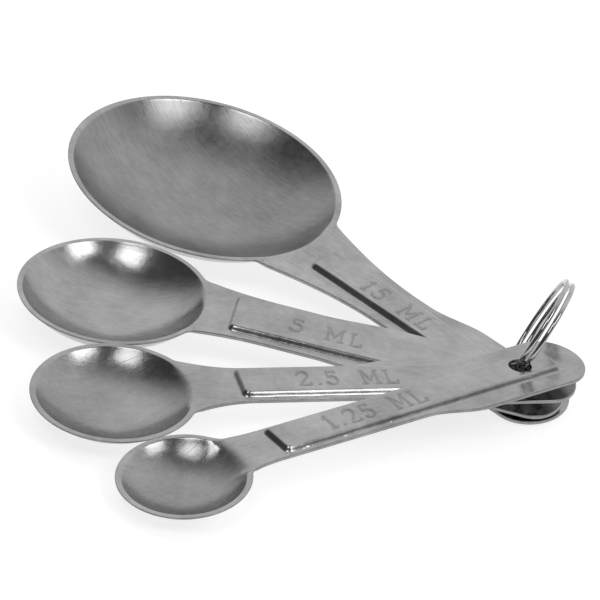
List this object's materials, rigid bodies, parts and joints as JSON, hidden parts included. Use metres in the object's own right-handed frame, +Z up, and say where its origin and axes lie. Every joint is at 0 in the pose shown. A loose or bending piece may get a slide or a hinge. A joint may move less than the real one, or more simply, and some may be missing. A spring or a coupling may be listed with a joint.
{
  "type": "measuring spoon set",
  "caption": "Stamped metal measuring spoons of graded capacity with round shallow bowls and raised-panel handles, fanned out on a split ring.",
  "frame": {"origin": "middle of the set's plan, on the table it stands on", "axes": "+Z up; +X from the bowls towards the ring and the tips of the handles; +Y from the smallest spoon towards the largest"},
  "size_m": [0.1145, 0.1504, 0.0236],
  "materials": {
    "spoon_steel": "satin, worn by use",
    "ring_steel": "bright drawn wire"
  },
  "bodies": {
    "tablespoon": {"tablespoon": "spoon_steel"},
    "teaspoon": {"teaspoon": "spoon_steel"},
    "half_teaspoon": {"half_teaspoon": "spoon_steel"},
    "quarter_teaspoon": {"quarter_teaspoon": "spoon_steel"},
    "split_ring": {"split_ring": "ring_steel"}
  },
  "joints": [
    {"name": "teaspoon_swing", "type": "hinge", "parent": "tablespoon", "child": "teaspoon", "pos_m": [0.04386, -0.00991, 0.0045], "axis": [0, 0, 1], "range_deg": [0, 10]},
    {"name": "half_teaspoon_swing", "type": "hinge", "parent": "teaspoon", "child": "half_teaspoon", "pos_m": [0.04386, -0.00991, 0.0072], "axis": [0, 0, 1], "range_deg": [0, 10]},
    {"name": "quarter_teaspoon_swing", "type": "hinge", "parent": "half_teaspoon", "child": "quarter_teaspoon", "pos_m": [0.04386, -0.00991, 0.0098], "axis": [0, 0, 1], "range_deg": [0, 10]},
    {"name": "ring_turn", "type": "hinge", "parent": "tablespoon", "child": "split_ring", "pos_m": [0.04706, 0.00164, 0.0118], "axis": [0.9139, -0.1562, -0.3746], "continuous": true}
  ]
}
